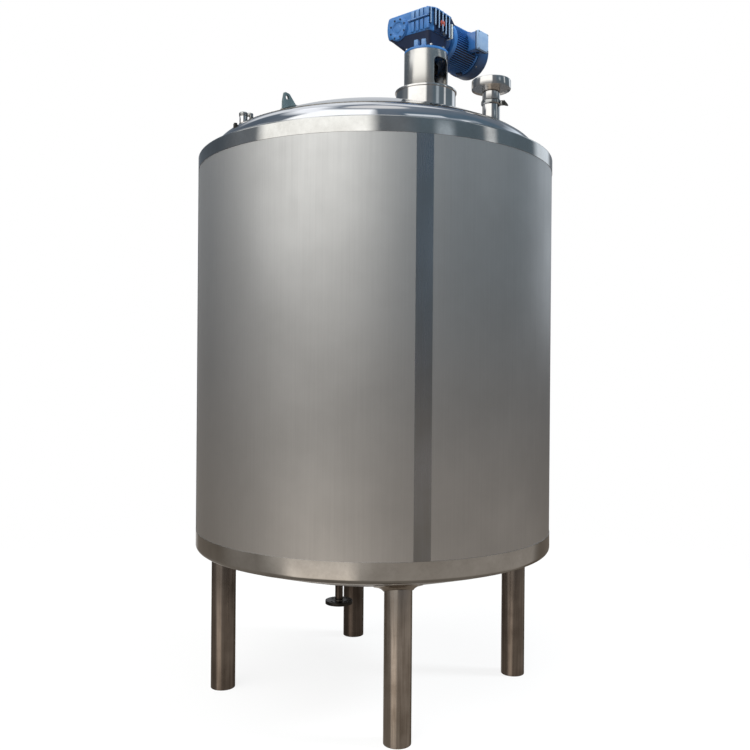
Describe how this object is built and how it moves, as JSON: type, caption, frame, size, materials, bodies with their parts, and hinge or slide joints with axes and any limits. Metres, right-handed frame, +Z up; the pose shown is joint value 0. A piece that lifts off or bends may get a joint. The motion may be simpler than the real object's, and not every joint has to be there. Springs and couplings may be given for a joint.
{
  "type": "mixing tank",
  "caption": "Upright insulated stainless steel mixing tank on pipe legs, with dished ends, a top entry agitator and gear motor on a tubular pedestal, a hooded vent and a bottom outlet.",
  "frame": {"origin": "on the tank's axis at floor level, under the middle of its bounding box", "axes": "+Z up along the tank's axis; -Y towards the front, the side that shows the seam strip and the front leg; +X to the right seen from the front"},
  "size_m": [1.6822, 1.6822, 3.2615],
  "materials": {
    "cladding": "satin stainless sheet, rolled and brushed upright",
    "seam": "satin stainless strip, a little darker",
    "polished": "bright polished stainless",
    "vessel": "mill finish stainless plate",
    "head": "mirror polished stainless plate",
    "leg": "satin stainless pipe with faint brown streaks",
    "flange": "dark machined stainless",
    "lug": "dark ground stainless plate",
    "fitting": "polished cast stainless",
    "pedestal": "satin stainless tube",
    "dark": "oiled machined steel in shadow",
    "shaft": "ground stainless bar",
    "aluminium": "bare machined aluminium",
    "blue": "semi-gloss blue enamel on castings"
  },
  "bodies": {
    "tank": {"cladding_sheet_front": "cladding", "cladding_sheet_right": "cladding", "cladding_sheet_back": "cladding", "cladding_sheet_left": "cladding", "seam_strip_front": "seam", "seam_strip_right": "seam", "seam_strip_back": "seam", "seam_strip_left": "seam", "top_rim_band": "polished", "bottom_edge_band": "polished", "inner_vessel": "vessel", "top_head": "head", "bottom_head": "vessel", "underside_cladding": "cladding", "leg_front": "leg", "leg_right": "leg", "leg_back": "leg", "leg_left": "leg", "leg_collar_front": "polished", "leg_collar_right": "polished", "leg_collar_back": "polished", "leg_collar_left": "polished", "outlet_pipe": "leg", "outlet_flange": "flange", "lifting_lug_front": "lug", "lifting_lug_back": "lug", "capped_nozzle": "polished", "nozzle_cap": "fitting", "head_plug": "fitting", "vent_stub": "polished", "vent_clamp": "fitting", "vent_wing_nut": "fitting", "vent_hood": "fitting", "agitator_base": "polished", "agitator_base_plate": "polished", "shaft_seal": "dark", "drive_pedestal": "pedestal", "gearbox_flange": "blue", "gearbox_housing": "blue", "gearbox_cover": "blue", "motor_adapter": "aluminium", "motor_flange": "blue", "motor_body": "blue", "motor_fan_cowl": "blue", "terminal_box": "blue"},
    "agitator": {"agitator_shaft": "shaft", "shaft_coupling": "dark", "impeller": "shaft"}
  },
  "joints": [
    {"name": "agitator_spin", "type": "hinge", "parent": "tank", "child": "agitator", "pos_m": [0.243, 0.02, 1.05], "axis": [0, 0, 1], "continuous": true}
  ]
}
